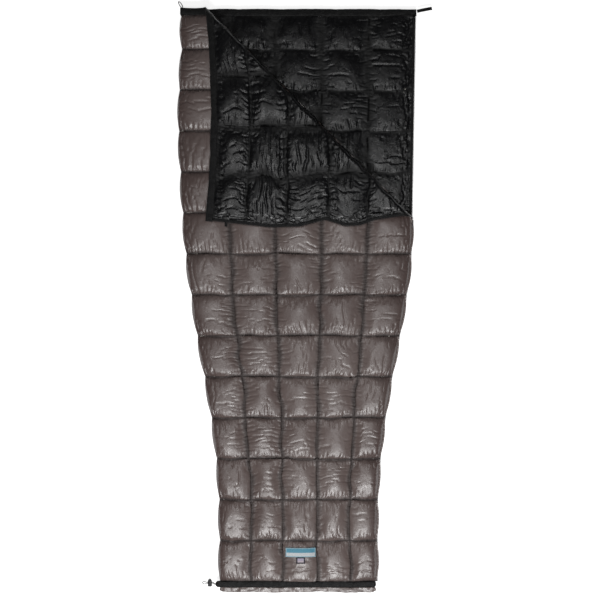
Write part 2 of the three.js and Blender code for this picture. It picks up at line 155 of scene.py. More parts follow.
# ---------------------------------------------------------------- mesh helpers
def new_object(name, points, faces, shade=True):
    mesh = bpy.data.meshes.new(name)
    mesh.from_pydata([tuple(p) for p in points], [], faces)
    mesh.update()
    mesh.polygons.foreach_set("use_smooth", [shade] * len(mesh.polygons))
    obj = bpy.data.objects.new(name, mesh)
    bpy.context.collection.objects.link(obj)
    return obj


def grid_object(name, P, lay=None, flip=False):
    """A sheet from a (3, rows, columns) array of points, with how near its seams and rim are, which the
    material uses for painted shade and puckers.
    """
    _, rows, cols = P.shape
    index = np.arange(rows * cols).reshape(rows, cols)
    quads = np.stack([index[:-1, :-1], index[:-1, 1:], index[1:, 1:], index[1:, :-1]], -1)
    quads = quads.reshape(-1, 4)
    mesh = bpy.data.meshes.new(name)
    mesh.vertices.add(rows * cols)
    mesh.vertices.foreach_set("co", P.reshape(3, -1).T.astype(np.float32).ravel())
    mesh.loops.add(quads.size)
    mesh.loops.foreach_set("vertex_index", quads.astype(np.int32).ravel())
    mesh.polygons.add(len(quads))
    mesh.polygons.foreach_set("loop_start", np.arange(0, quads.size, 4, dtype=np.int32))
    mesh.update(calc_edges=True)
    mesh.polygons.foreach_set("use_smooth", [True] * len(quads))
    if lay is not None:
        for field in ("crease", "rim", "by_row", "by_col"):
            values = getattr(lay, field)[::-1] if flip else getattr(lay, field)
            made = mesh.attributes.new(field, "FLOAT", "POINT")
            made.data.foreach_set("value", values.astype(np.float32).ravel())
    obj = bpy.data.objects.new(name, mesh)
    bpy.context.collection.objects.link(obj)
    return obj


def coords(obj):
    flat = np.empty(len(obj.data.vertices) * 3, np.float32)
    obj.data.vertices.foreach_get("co", flat)
    return flat.reshape(-1, 3).astype(float)


def set_coords(obj, points):
    obj.data.vertices.foreach_set("co", points.astype(np.float32).ravel())
    obj.data.update()


def sweep(name, path, section, side=None):
    """A closed tube: each row of path carries its section, (rows, corners, 2) across and up."""
    path = np.asarray(path, float)
    tangent = np.gradient(path, axis=0)
    tangent /= np.linalg.norm(tangent, axis=1)[:, None]
    if side is None:
        across = np.empty_like(path)
        start = np.cross(tangent[0], (0, 0, 1.0))
        if np.linalg.norm(start) < 1e-6:
            start = np.array((1.0, 0, 0))
        for i, t in enumerate(tangent):
            start = start - t * (start @ t)
            start /= np.linalg.norm(start)
            across[i] = start
    else:
        across = np.broadcast_to(np.asarray(side, float), path.shape)
        across = across - tangent * (across * tangent).sum(1)[:, None]
        across = across / np.linalg.norm(across, axis=1)[:, None]
    up = np.cross(across, tangent)
    section = np.broadcast_to(section, (len(path),) + np.shape(section)[-2:])
    count = section.shape[1]
    rings = (path[:, None] + across[:, None] * section[..., :1] + up[:, None] * section[..., 1:])
    faces = []
    for i in range(len(path) - 1):
        for k in range(count):
            a, b = i * count + k, i * count + (k + 1) % count
            faces.append((a, b, b + count, a + count))
    faces.append(tuple(range(count - 1, -1, -1)))
    last = (len(path) - 1) * count
    faces.append(tuple(range(last, last + count)))
    obj = new_object(name, rings.reshape(-1, 3), faces)
    orient(obj)
    return obj


def orient(obj):
    bm = bmesh.new()
    bm.from_mesh(obj.data)
    bmesh.ops.recalc_face_normals(bm, faces=bm.faces)
    bm.to_mesh(obj.data)
    bm.free()


def oval(wide, thick, corners=16, power=0.5):
    """A rounded flat section: power 1 is an ellipse, less is squarer."""
    a = np.arange(corners) / corners * math.tau
    c, s = np.cos(a), np.sin(a)
    x = np.sign(c) * np.abs(c) ** power
    y = np.sign(s) * np.abs(s) ** power
    return np.stack([x * wide / 2, y * thick / 2], -1)


def copy_of(obj, name):
    twin = bpy.data.objects.new(name, obj.data.copy())
    bpy.context.collection.objects.link(twin)
    return twin


def cut(obj, at, normal, cap=False):
    """Keeps the side of the plane that its normal points away from."""
    bm = bmesh.new()
    bm.from_mesh(obj.data)
    result = bmesh.ops.bisect_plane(bm, geom=bm.verts[:] + bm.edges[:] + bm.faces[:], dist=1e-7,
                                    plane_co=at, plane_no=normal, clear_outer=True)
    if cap:
        rim = [e for e in result["geom_cut"] if isinstance(e, bmesh.types.BMEdge)]
        bmesh.ops.edgeloop_fill(bm, edges=rim)
    bm.to_mesh(obj.data)
    bm.free()
    obj.data.polygons.foreach_set("use_smooth", [True] * len(obj.data.polygons))


def catmull(points, spans, tension=0.35):
    """Points along a smooth curve through the given ones, the same number in each span."""
    p = np.asarray(points, float)
    p = np.vstack([2 * p[0] - p[1], p, 2 * p[-1] - p[-2]])
    out = []
    for i in range(1, len(p) - 2):
        m0 = tension * (p[i + 1] - p[i - 1])
        m1 = tension * (p[i + 2] - p[i])
        for t in np.arange(spans) / spans:
            t2, t3 = t * t, t * t * t
            out.append((2 * t3 - 3 * t2 + 1) * p[i] + (t3 - 2 * t2 + t) * m0
                       + (-2 * t3 + 3 * t2) * p[i + 1] + (t3 - t2) * m1)
    out.append(p[-2])
    return np.array(out)


def value_noise(rows, cols, step_r, step_c, rng):
    """Smooth noise from -1 to 1, with lumps about step_r by step_c samples."""
    r, c = np.arange(rows) / step_r, np.arange(cols) / step_c
    table = rng.uniform(-1, 1, (int(r[-1]) + 2, int(c[-1]) + 2))
    ri, ci = r.astype(int), c.astype(int)
    fr, fc = smooth(r - ri)[:, None], smooth(c - ci)[None, :]
    low = table[ri][:, ci] * (1 - fc) + table[ri][:, ci + 1] * fc
    high = table[ri + 1][:, ci] * (1 - fc) + table[ri + 1][:, ci + 1] * fc
    return low * (1 - fr) + high * fr


def line_noise(at, rng):
    """Smooth noise from -1 to 1 along one changing coordinate."""
    at = at - at.min()
    table = rng.uniform(-1, 1, int(at.max()) + 3)
    low = at.astype(int)
    return table[low] + (table[low + 1] - table[low]) * smooth(at - low)


# ---------------------------------------------------------------- the foot drawcord comes first
make_camera()

LOCK_X = -FOOT_WIDTH / 2 - LOCK_OFFSET
LOCK_Z = 0.0073
STRAND = CORD_RADIUS + STRAND_GAP / 2
CORD_RIGHT = FOOT_RIGHT - 0.008
LEFT = -FOOT_WIDTH / 2
CORD_ROUTE = [
    (CORD_RIGHT, 0, BACK_SEAM_Z), (0, 0, BACK_SEAM_Z), (LEFT + 0.006, 0, BACK_SEAM_Z),
    (LEFT - 0.008, -0.001, BACK_SEAM_Z - 0.0015), (LOCK_X + 0.008, -STRAND, LOCK_Z),
    (LOCK_X, -STRAND, LOCK_Z), (LOCK_X - 0.008, -STRAND, LOCK_Z),
    (LOCK_X - LOOP_REACH + 0.005, -0.0045, LOCK_Z - 0.002),
    (LOCK_X - LOOP_REACH, 0, LOCK_Z - 0.003),
    (LOCK_X - LOOP_REACH + 0.005, 0.0045, LOCK_Z - 0.002), (LOCK_X - 0.008, STRAND, LOCK_Z),
    (LOCK_X, STRAND, LOCK_Z), (LOCK_X + 0.008, STRAND, LOCK_Z),
    (LEFT - CHANNEL_POKE - 0.006, 0.0012, LOCK_Z + 0.005),
    (LEFT - CHANNEL_POKE - 0.005, 0.0006, FRONT_SEAM_Z - 0.008),
    (LEFT - CHANNEL_POKE - 0.002, 0, FRONT_SEAM_Z - 0.0006),
    (LEFT - CHANNEL_POKE + 0.004, 0, FRONT_SEAM_Z), (LEFT + 0.006, 0, FRONT_SEAM_Z),
    (0, 0, FRONT_SEAM_Z), (CORD_RIGHT, 0, FRONT_SEAM_Z),
]
cord_path = catmull([(x, CHANNEL_Y + y, z) for x, y, z in CORD_ROUTE], 8)
drawcord = sweep("drawcord", cord_path, oval(2 * CORD_RADIUS, 2 * CORD_RADIUS, 10, 1))

# ---------------------------------------------------------------- cloth
SHELL_STRIP = 0.005
LINING_STRIP = 0.008
STRIP_SPANS = 3


# how far the loose left side spreads past its pattern, by height
SPREAD = np.array([(-0.10, 0.0), (0.05, -0.004), (0.20, -0.002), (0.30, 0.003), (0.367, 0.007),
                   (0.492, 0.011), (0.618, 0.014), (0.743, 0.010), (0.868, 0.0)])


def column_lines(y, strip, left):
    half = half_width(y)
    left = left - np.interp(y, SPREAD[:, 0], SPREAD[:, 1])
    below_knee = 1 - smooth((y - FOOT_Y) / LENGTH / KNEE_AT)
    lines = [-half + left]
    for share in COLUMN_SEAMS:
        lean = 0.055 * max(0.0, (share + 0.2) / 0.8) * below_knee
        lines.append((share + lean) * half)
    edge = fabric_edge(y)
    return lines + [edge - strip, edge]


class Layout:
    """The cloth's flat pattern: where each point sits, and where it is in its cell."""

    def __init__(self, spans, strip, left):
        cells = len(COLUMN_SEAMS) + 1
        self.cols = cells * spans + STRIP_SPANS + 1
        self.rows = ROWS * spans + 1
        seams = np.append(FOOT_SEAM + ROW * np.arange(ROWS), HEAD_SEAM)
        y = np.interp(np.arange(self.rows) / spans, np.arange(ROWS + 1), seams)
        lines = np.array(column_lines(y, strip, left))
        x = np.empty((self.rows, self.cols))
        t = np.arange(spans) / spans
        for c in range(cells):
            a, b = lines[c][:, None], lines[c + 1][:, None]
            x[:, c * spans:(c + 1) * spans] = a + (b - a) * t
        a, b = lines[cells][:, None], lines[cells + 1][:, None]
        x[:, cells * spans:] = a + (b - a) * np.arange(STRIP_SPANS + 1) / STRIP_SPANS
        self.x = x
        self.y = np.repeat(y[:, None], self.cols, 1)
        col = np.arange(self.cols)
        row = np.arange(self.rows)
        self.cell = np.minimum(col // spans, cells)
        across = (col % spans) / spans * 2 - 1
        across[cells * spans:] = 1
        up = (row % spans) / spans * 2 - 1
        up[-1] = 1
        self.across = np.repeat(across[None], self.rows, 0)
        self.up = np.repeat(up[:, None], self.cols, 1)
        self.on_row = row % spans == 0
        self.on_col = (col % spans == 0) & (col <= cells * spans)
        self.in_strip = col >= cells * spans
        self.spans = spans
        self.cells = cells


def pull(P, free, rest, first, squeeze):
    """Sets every other edge along the last axis to its length, giving way less to squeezing."""
    n = P.shape[2]
    a, b = P[:, :, first:n - 1:2], P[:, :, first + 1:n:2]
    wa, wb = free[:, first:n - 1:2], free[:, first + 1:n:2]
    d = b - a
    dist = np.sqrt((d * d).sum(0)) + 1e-9
    diff = 1 - rest[:, first:n - 1:2] / dist
    diff = np.where(diff < 0, diff * squeeze, diff) / np.maximum(wa + wb, 1)
    d *= diff
    a += d * wa
    b -= d * wb


def shear(P, free, rest, flip, rate):
    if flip:
        a, b = P[:, :-1, 1:], P[:, 1:, :-1]
        wa, wb = free[:-1, 1:], free[1:, :-1]
    else:
        a, b = P[:, :-1, :-1], P[:, 1:, 1:]
        wa, wb = free[:-1, :-1], free[1:, 1:]
    d = b - a
    dist = np.sqrt((d * d).sum(0)) + 1e-9
    d *= (1 - rest / dist) * rate
    move_a, move_b = d * wa, d * wb
    a += move_a
    b -= move_b


def laplacian(P):
    out = np.zeros_like(P)
    out[:, 1:-1, 1:-1] = (P[:, 1:-1, :-2] + P[:, 1:-1, 2:] + P[:, :-2, 1:-1] + P[:, 2:, 1:-1]
                          - 4 * P[:, 1:-1, 1:-1])
    return out


def normals(P):
    du, dv = np.zeros_like(P), np.zeros_like(P)
    du[:, :, 1:-1] = P[:, :, 2:] - P[:, :, :-2]
    dv[:, 1:-1] = P[:, 2:] - P[:, :-2]
    n = np.cross(du, dv, axis=0)
    return n / (np.sqrt((n * n).sum(0)) + 1e-9)


def relax(P, free, rest, ceiling, floor, steps, push, bend, squeeze, hold):
    """Blows the cloth up against its ceiling while its threads keep their lengths."""
    last = P.copy()
    home = P[:2].copy()
    turned, free_t = P.transpose(0, 2, 1), free.T
    for _ in range(steps):
        keep = P.copy()
        P += (P - last) * (0.92 * free)
        last = keep
        P += normals(P) * (push * free)
        for first in (0, 1):
            pull(P, free, rest["x"], first, squeeze)
            pull(turned, free_t, rest["y"].T, first, squeeze)
        shear(P, free, rest["d"], False, 0.2)
        shear(P, free, rest["e"], True, 0.2)
        P -= laplacian(laplacian(P) * free) * (bend * free)
        P[:2] += (home - P[:2]) * (hold * free)
        over = np.maximum(P[2] - ceiling, 0) * free
        P[2] -= over * 0.7
        P[2] = np.where(free > 0, np.maximum(P[2], floor), P[2])
    return P


def cloth(seed, strip, left, seam, top, side, excess, skew, wobble, bulge, steps, push, bend,
          hold=0.1, squeeze=1.0, seed_depth=0.004, warp=0.012, mid=0.35, band=0.011, over_zip=0.0):
    """One quilted sheet facing up. seam, top and side are heights; excess is how much longer the cloth is
    cut than its seams, most of it near them; band is the half-width of the painted shade line at a column
    seam."""
    rng = np.random.default_rng(seed)
    lay = Layout(DETAIL, strip, left)
    rows, cols, n = lay.rows, lay.cols, lay.spans
    x, y = lay.x.copy(), lay.y.copy()
    pinned = np.zeros((rows, cols), bool)
    pinned[lay.on_row] = True
    pinned[:, lay.on_col] = True
    pinned[:, lay.in_strip] = True
    scale = n / 38

    # heights of the seams around each cell, and the ceiling that its down holds up
    t = lay.across * 0.5 + 0.5
    base = np.full((rows, cols), seam)
    first = (lay.cell == 0)[None] & (lay.across <= 1)
    base = np.where(first, side + (seam - side) * smooth(t * 1.5), base)
    last = (lay.cell >= lay.cells - 1)[None]
    base = np.where(last, seam + (side - seam) * smooth(t * 1.5 - 0.5), base)
    base[:, lay.in_strip] = side
    a, b = np.abs(lay.across), np.abs(lay.up)
    across = (1 - a ** 2.0) ** 0.8
    steep = (1 - a ** 4) ** 0.5
    leftmost, rightmost = (lay.cell == 0)[None], (lay.cell == lay.cells - 1)[None]
    outer = (leftmost & (lay.across < 0)) | (rightmost & (lay.across > 0))
    across = np.where(outer, steep, across)
    dome = across * (1 - b ** 2.7) ** 0.6
    dome[:, lay.in_strip] = 0
    lumps = value_noise(rows, cols, n * 0.45, n * 0.5, rng) * 0.07 - 0.03
    ceiling = base + (top - base) * dome * (1 + lumps)
    floor = base + (top - base) * dome * 0.30 - 0.0012

    # seams wander a little, and pucker along their length
    quick_r = value_noise(rows, cols, 6 * scale, 5 * scale, rng)
    quick_c = value_noise(rows, cols, 5 * scale, 6 * scale, rng)
    slow_x = value_noise(rows, cols, 14 * scale, n, rng)
    slow_y = value_noise(rows, cols, n, 14 * scale, rng)
    row_mask = np.repeat(lay.on_row[:, None], cols, 1)
    col_mask = np.repeat(lay.on_col[None], rows, 0)
    inner = ~np.repeat(lay.in_strip[None], rows, 0)
    y += np.where(row_mask & inner, slow_y * 0.0014 + quick_r * 0.0005, 0)
    x += np.where(col_mask & inner & (lay.cell > 0)[None], slow_x * 0.0022 + quick_c * 0.0007, 0)
    z = base + np.maximum(np.where(row_mask, quick_r, quick_c) * wobble, -0.0007)
    z[:, lay.in_strip] = side + 0.0006 * quick_c[:, lay.in_strip]

    # the outline draws in at every row seam
    drawn = bulge * (1 - b ** 2) - bulge * 0.55
    x -= np.where(leftmost, drawn * (1 - t) ** 2, 0)
    beyond = over_zip * smooth((FOLD_END_Y + 0.03 - y) / 0.06)
    if strip < 0.01:
        beyond = beyond + drawn
    x += np.where(lay.in_strip[None], beyond, np.where(rightmost, beyond * t ** 2, 0))

    # thread lengths: gathered along the seams, with more to spare near them
    near_row, near_col = b ** 3, a ** 3
    patch = value_noise(rows, cols, n * 0.9, n * 0.9, rng)
    fine = value_noise(rows, cols, n * 0.22, n * 0.22, rng)
    grow_x = 1 + excess * (mid + 0.95 * near_row + 0.35 * patch + 0.2 * fine)
    grow_y = 1 + excess * (mid + 0.15 + 0.45 * near_col - 0.35 * patch + 0.2 * fine)
    rim = np.where(outer, a ** 5, 0)
    grow_x = grow_x + rim * 0.75
    window = np.sqrt(np.clip((1 - a ** 4) * (1 - b ** 4), 0, 1))
    window = np.where(outer, window * (1 - a ** 2), window)
    window[:, lay.in_strip] = 0
    x += warp * window * value_noise(rows, cols, n * 0.42, n * 0.5, rng)
    y += warp * window * value_noise(rows, cols, n * 0.5, n * 0.42, rng)
    rest_x = np.hypot(np.diff(x, axis=1), np.diff(y, axis=1)) * (grow_x[:, 1:] + grow_x[:, :-1]) / 2
    rest_y = np.hypot(np.diff(x, axis=0), np.diff(y, axis=0)) * (grow_y[1:] + grow_y[:-1]) / 2
    both = ((grow_x + grow_y) / 2)[:-1, :-1]
    lean = skew * value_noise(rows, cols, n * 0.7, n * 0.8, rng)[:-1, :-1]
    diag_d = np.hypot(x[1:, 1:] - x[:-1, :-1], y[1:, 1:] - y[:-1, :-1]) * both * (1 + lean)
    diag_e = np.hypot(x[1:, :-1] - x[:-1, 1:], y[1:, :-1] - y[:-1, 1:]) * both * (1 - lean)

    # first creases: fanning out of the seams, at a slant that changes from cell to cell
    r, c = np.mgrid[0:rows, 0:cols] / scale
    slant = 1.1 * value_noise(rows, cols, n * 0.75, n * 0.75, rng)
    swing = 1.1 * value_noise(rows, cols, n * 0.75, n * 0.75, rng)
    stripes = line_noise((c + slant * (b * np.sign(lay.up) - 1) * 19) / 4.2, rng) * b ** 1.5
    bars = line_noise((r + swing * (a * np.sign(lay.across) - 1) * 19) / 4.2, rng) * a ** 1.5
    slopes = line_noise((c * slant + r) / 5.5, rng) * (1 - b ** 2) * (1 - a ** 2)
    patchy = 0.5 + 0.5 * value_noise(rows, cols, n * 0.3, n * 0.3, rng)
    creases = seed_depth * (stripes + bars + slopes) * patchy
    z = z + np.where(pinned, 0, (top - base) * dome * 0.7 + creases)
    P = np.stack([x, y, z]).astype(np.float32)
    free = (~pinned).astype(np.float32)
    rest = {"x": rest_x, "y": rest_y, "d": diag_d, "e": diag_e}
    rest = {k: v.astype(np.float32) for k, v in rest.items()}
    # how near each point is to its seams and rim; the material paints shade from crease (seam valleys and
    # column seam bands) and from rim (outer columns' slopes), and puckers from by_row and by_col
    ragged = 1 + 0.35 * value_noise(rows, cols, n * 0.12, n * 0.12, rng)
    row_gap = (1 - b) * ROW / 2 / ragged
    col_gap = (1 - a) * HEAD_WIDTH / 10 / ragged
    by_col = np.where(outer | lay.in_strip[None], 0, np.exp(-(col_gap / band) ** 2))
    lay.crease = np.maximum(np.exp(-(row_gap / 0.0042) ** 2), 0.85 * by_col)
    lay.rim = np.where(outer, a ** 1.4, 0)
    lay.by_row = np.exp(-(row_gap / 0.016) ** 2)
    lay.by_col = np.where(outer, 0, np.exp(-(col_gap / 0.012) ** 2))
    P = relax(P, free, rest, ceiling.astype(np.float32), floor.astype(np.float32), steps,
              push / scale, bend, squeeze, hold)
    P += laplacian(P) * (0.08 * free)
    return lay, P


# ---------------------------------------------------------------- the fold
FOLD_START = np.array((-HEAD_WIDTH / 2 + FOLD_INSET, HEAD_Y, FOLD_Z))
FOLD_END = np.array((float(half_width(HEAD_Y - FOLD_DEPTH)), HEAD_Y - FOLD_DEPTH, FOLD_Z))
ALONG = (FOLD_END - FOLD_START) / np.linalg.norm(FOLD_END - FOLD_START)
ACROSS = np.array((-ALONG[1], ALONG[0], 0))
ROLL = 0.015
FOLD_NOISE = np.random.default_rng(3).uniform(-1, 1, 150)


def roll_up(points, under=0.0):
    """Draws every layer into the fold's round edge, where all of them meet."""
    s = np.abs((points - FOLD_START) @ ACROSS)
    at = (points - FOLD_START) @ ALONG
    inside = np.clip(at / 0.1, 0, 1) * np.clip((0.976 - at) / 0.1, 0, 1)
    wander = np.interp(at, np.linspace(0, 1, 40), FOLD_NOISE[:40]) * inside
    ripple = np.interp(at, np.linspace(0, 1, 110), FOLD_NOISE[40:]) * inside
    points += np.outer(0.0035 * wander * np.exp(-s / 0.05), ACROSS)
    f = np.sqrt(1 - (1 - np.clip(s / ROLL, 0, 1)) ** 2)
    top = FOLD_Z - under
    points[:, 2] = top - (top - points[:, 2]) * f - 0.0030 * np.abs(ripple) * f * np.exp(-s / 0.03)
    return points


# how far the turned corner's lower edge sags, by place across, and its side edge leans, by height
SAG = np.array([(-0.330, -0.006), (-0.24, -0.016), (-0.094, -0.033), (0.005, -0.031), (0.087, -0.009),
                (0.153, -0.030), (0.20, -0.028), (0.252, -0.010), (0.34, 0.004), (0.40, 0.0)])
LEAN = np.array([(0.318, 0.011), (0.47, 0.021), (0.66, 0.024), (0.87, 0.015), (HEAD_Y, 0.0)])


def turn_over(points):
    """Turns the corner about the fold."""
    v = points - FOLD_START
    return settle(2 * np.outer(v @ ALONG, ALONG) - v + FOLD_START)


def settle(out):
    """Lets the turned corner's free edges move a little, as loose fabric does."""
    fold_y = FOLD_START[1] + (out[:, 0] - FOLD_START[0]) * ALONG[1] / ALONG[0]
    reach = np.maximum(fold_y - FOLD_END[1], 0.02)
    share = np.clip((fold_y - out[:, 1]) / reach, 0, 1.2) ** 1.2
    fold_x = FOLD_START[0] + (out[:, 1] - FOLD_START[1]) * ALONG[0] / ALONG[1]
    span = np.maximum(fold_x - FOLD_START[0], 0.02)
    part = np.clip((fold_x - out[:, 0]) / span, 0, 1.1)
    out[:, 0] += np.interp(out[:, 1], LEAN[:, 0], LEAN[:, 1]) * part
    out[:, 1] += np.interp(out[:, 0], SAG[:, 0], SAG[:, 1]) * share
    return out


def fold_apart(obj, name, cap=False, inset=0.0, under=0.0):
    """Splits a front piece along the fold: what stays, and the corner turned over."""
    flap = copy_of(obj, name)
    at = FOLD_START - ACROSS * inset
    cut(obj, at, ACROSS, cap)
    cut(flap, FOLD_START + ACROSS * inset, -ACROSS, cap)
    set_coords(obj, roll_up(coords(obj), under))
    set_coords(flap, turn_over(roll_up(coords(flap), under)))
    return obj, flap


# ---------------------------------------------------------------- materials
def material(name):
    mat = bpy.data.materials.new(name)
    mat.use_nodes = True
    tree = mat.node_tree
    tree.nodes.clear()
    out = tree.nodes.new("ShaderNodeOutputMaterial")
    shader = tree.nodes.new("ShaderNodeBsdfPrincipled")
    tree.links.new(shader.outputs[0], out.inputs["Surface"])
    where = tree.nodes.new("ShaderNodeTexCoord")
    return mat, tree, shader, where.outputs["Object"]


def node(tree, kind, **values):
    made = tree.nodes.new(kind)
    for key, value in values.items():
        if hasattr(made, key):
            setattr(made, key, value)
        else:
            made.inputs[key.replace("_", " ")].default_value = value
    return made


def noise(tree, where, scale, detail=2.0, stretch=None):
    if stretch:
        mapping = node(tree, "ShaderNodeMapping", Scale=stretch)
        tree.links.new(where, mapping.inputs["Vector"])
        where = mapping.outputs[0]
    made = node(tree, "ShaderNodeTexNoise", Scale=scale, Detail=detail)
    tree.links.new(where, made.inputs["Vector"])
    return made.outputs["Fac"]


def ramp(tree, value, stops):
    made = tree.nodes.new("ShaderNodeValToRGB")
    ends = made.color_ramp.elements
    while len(ends) < len(stops):
        ends.new(0.5)
    for end, (at, colour) in zip(ends, stops):
        end.position = at
        end.color = (*colour, 1)
    tree.links.new(value, made.inputs["Fac"])
    return made.outputs["Color"]


def bump(tree, shader, layers):
    """layers: (height, strength, distance), coarse first."""
    normal = None
    for height, strength, distance in layers:
        made = node(tree, "ShaderNodeBump", Strength=strength, Distance=distance)
        tree.links.new(height, made.inputs["Height"])
        if normal is not None:
            tree.links.new(normal, made.inputs["Normal"])
        normal = made.outputs["Normal"]
    tree.links.new(normal, shader.inputs["Normal"])


def weave(tree, where, pitch):
    """Threads over and under each other, along X and Y."""
    waves = []
    for direction in ("X", "Y"):
        wave = node(tree, "ShaderNodeTexWave", bands_direction=direction, Scale=1 / pitch / 20 * math.tau)
        tree.links.new(where, wave.inputs["Vector"])
        waves.append(wave.outputs["Fac"])
    made = node(tree, "ShaderNodeMath", operation="MULTIPLY")
    tree.links.new(waves[0], made.inputs[0])
    tree.links.new(waves[1], made.inputs[1])
    return made.outputs[0]


def nylon(name, dark, mid, light, rim, seam, rough, sheen, tint, crinkle, shine, pucker=0.65):
    """Thin downproof nylon: painted shade darkens it towards its rim and in its seam valleys, with puckers
    beside the stitching.
    """
    mat, tree, shader, where = material(name)
    cloudy = noise(tree, where, 3.5, 4.0)
    colour = ramp(tree, cloudy, [(0.30, dark), (0.50, mid), (0.72, light)])
    # painted shade: the rim colour darkens the outer columns' outer slopes, and the seam colour darkens the
    # seam valleys and the column seam bands
    for field, shade, most in (("rim", rim, 0.8), ("crease", seam, 1.0)):
        painted_shade_field = node(tree, "ShaderNodeAttribute", attribute_name=field)
        share = node(tree, "ShaderNodeMath", operation="MULTIPLY")
        share.inputs[1].default_value = most
        tree.links.new(painted_shade_field.outputs["Fac"], share.inputs[0])
        painted_shade_mix = node(tree, "ShaderNodeMix", data_type="RGBA")
        painted_shade_mix.inputs["B"].default_value = (*shade, 1)
        tree.links.new(share.outputs[0], painted_shade_mix.inputs["Factor"])
        tree.links.new(colour, painted_shade_mix.inputs["A"])
        colour = painted_shade_mix.outputs["Result"]
    tree.links.new(colour, shader.inputs["Base Color"])
    uneven = node(tree, "ShaderNodeMapRange", From_Min=0.3, From_Max=0.7, To_Min=rough - 0.06,
                  To_Max=rough + 0.07)
    tree.links.new(noise(tree, where, 40, 3.0), uneven.inputs["Value"])
    gathered = node(tree, "ShaderNodeMath", operation="MULTIPLY_ADD", use_clamp=True)
    gathered.inputs[1].default_value = 0.45
    tree.links.new(painted_shade_field.outputs["Fac"], gathered.inputs[0])
    tree.links.new(uneven.outputs["Result"], gathered.inputs[2])
    tree.links.new(gathered.outputs[0], shader.inputs["Roughness"])
    shader.inputs["Specular IOR Level"].default_value = shine
    shader.inputs["Sheen Weight"].default_value = sheen
    shader.inputs["Sheen Roughness"].default_value = 0.35
    shader.inputs["Sheen Tint"].default_value = (*tint, 1)
    puckers = []
    for field, stretch in (("by_row", (1.0, 0.22, 1.0)), ("by_col", (0.22, 1.0, 1.0))):
        near = node(tree, "ShaderNodeAttribute", attribute_name=field)
        made = node(tree, "ShaderNodeMath", operation="MULTIPLY")
        tree.links.new(near.outputs["Fac"], made.inputs[0])
        tree.links.new(noise(tree, where, 130, 2.0, stretch), made.inputs[1])
        puckers.append((made.outputs[0], pucker, 0.006))
    bump(tree, shader, puckers + [
        (noise(tree, where, 70, 5.0, (1.0, 0.8, 1.0)), crinkle, 0.0022),
        (noise(tree, where, 320, 3.0), 0.2, 0.0006),
        (weave(tree, where, 0.0009), 0.15, 0.0002),
    ])
    return mat


def woven(name, dark, light, pitch, rough, depth=0.0004):
    """Coarse matte webbing or tape."""
    mat, tree, shader, where = material(name)
    cloudy = noise(tree, where, 30, 4.0)
    tree.links.new(ramp(tree, cloudy, [(0.3, dark), (0.7, light)]), shader.inputs["Base Color"])
    grain = ramp(tree, noise(tree, where, 300, 2.0),
                 [(0.3, (rough - 0.08,) * 3), (0.7, (rough + 0.05,) * 3)])
    tree.links.new(grain, shader.inputs["Roughness"])
    shader.inputs["Specular IOR Level"].default_value = 0.25
    shader.inputs["Sheen Weight"].default_value = 0.03
    layers = [(noise(tree, where, 55, 4.0), 0.5, 0.003), (weave(tree, where, pitch), 0.6, depth)]
    bump(tree, shader, layers)
    return mat


def moulded(name, dark, light, rough, metallic=0.0, scratch=0.15):
    mat, tree, shader, where = material(name)
    tree.links.new(ramp(tree, noise(tree, where, 120, 4.0), [(0.3, dark), (0.75, light)]),
                   shader.inputs["Base Color"])
    worn = ramp(tree, noise(tree, where, 400, 5.0, (1, 0.3, 1)),
                [(0.35, (rough - 0.08,) * 3), (0.7, (rough + 0.1,) * 3)])
    tree.links.new(worn, shader.inputs["Roughness"])
    shader.inputs["Metallic"].default_value = metallic
    bump(tree, shader, [(noise(tree, where, 900, 3.0), scratch, 0.0002)])
    return mat


def fluff(name):
    mat, tree, shader, where = material(name)
    tufts = ramp(tree, noise(tree, where, 90, 6.0), [(0.3, (0.62, 0.58, 0.50)), (0.7, (0.86, 0.84, 0.79))])
    tree.links.new(tufts, shader.inputs["Base Color"])
    shader.inputs["Roughness"].default_value = 0.95
    bump(tree, shader, [(noise(tree, where, 160, 6.0), 0.8, 0.003)])
    return mat


# for shell and lining, the fourth colour is painted shade on the outer columns' slopes and the fifth is
# painted shade in the seam valleys
SHELL = nylon("shell_nylon", (0.104, 0.076, 0.070), (0.125, 0.095, 0.088), (0.148, 0.116, 0.108),
              (0.052, 0.031, 0.028), (0.015, 0.009, 0.008), 0.33, 0.05, (0.95, 0.90, 0.87), 0.4, 0.6)
LINING = nylon("lining_nylon", (0.0012, 0.0012, 0.0016), (0.0020, 0.0020, 0.0026), (0.0034, 0.0034, 0.0042),
               (0.0012, 0.0012, 0.0016), (0.0003, 0.0003, 0.0004), 0.27, 0.005, (0.75, 0.80, 0.95), 0.4,
               0.36, 0.35)
TRIM = woven("trim_tape", (0.0012, 0.0012, 0.0014), (0.0032, 0.0032, 0.0035), 0.0011, 0.52)
COIL = moulded("coil_nylon", (0.010, 0.010, 0.011), (0.020, 0.020, 0.021), 0.42)
METAL = moulded("gunmetal", (0.045, 0.045, 0.048), (0.085, 0.085, 0.090), 0.40, 0.8)
PLASTIC = moulded("lock_plastic", (0.011, 0.011, 0.012), (0.020, 0.020, 0.021), 0.48)
SPRING = moulded("spring_steel", (0.45, 0.45, 0.46), (0.60, 0.60, 0.61), 0.28, 1.0)
CORD = woven("cord_braid", (0.014, 0.014, 0.015), (0.030, 0.030, 0.031), 0.0008, 0.8)
DOWN = fluff("down_fill")
THREAD = moulded("thread", (0.045, 0.034, 0.031), (0.075, 0.058, 0.053), 0.6)
BLACK_THREAD = moulded("black_thread", (0.006, 0.006, 0.007), (0.012, 0.012, 0.013), 0.6)


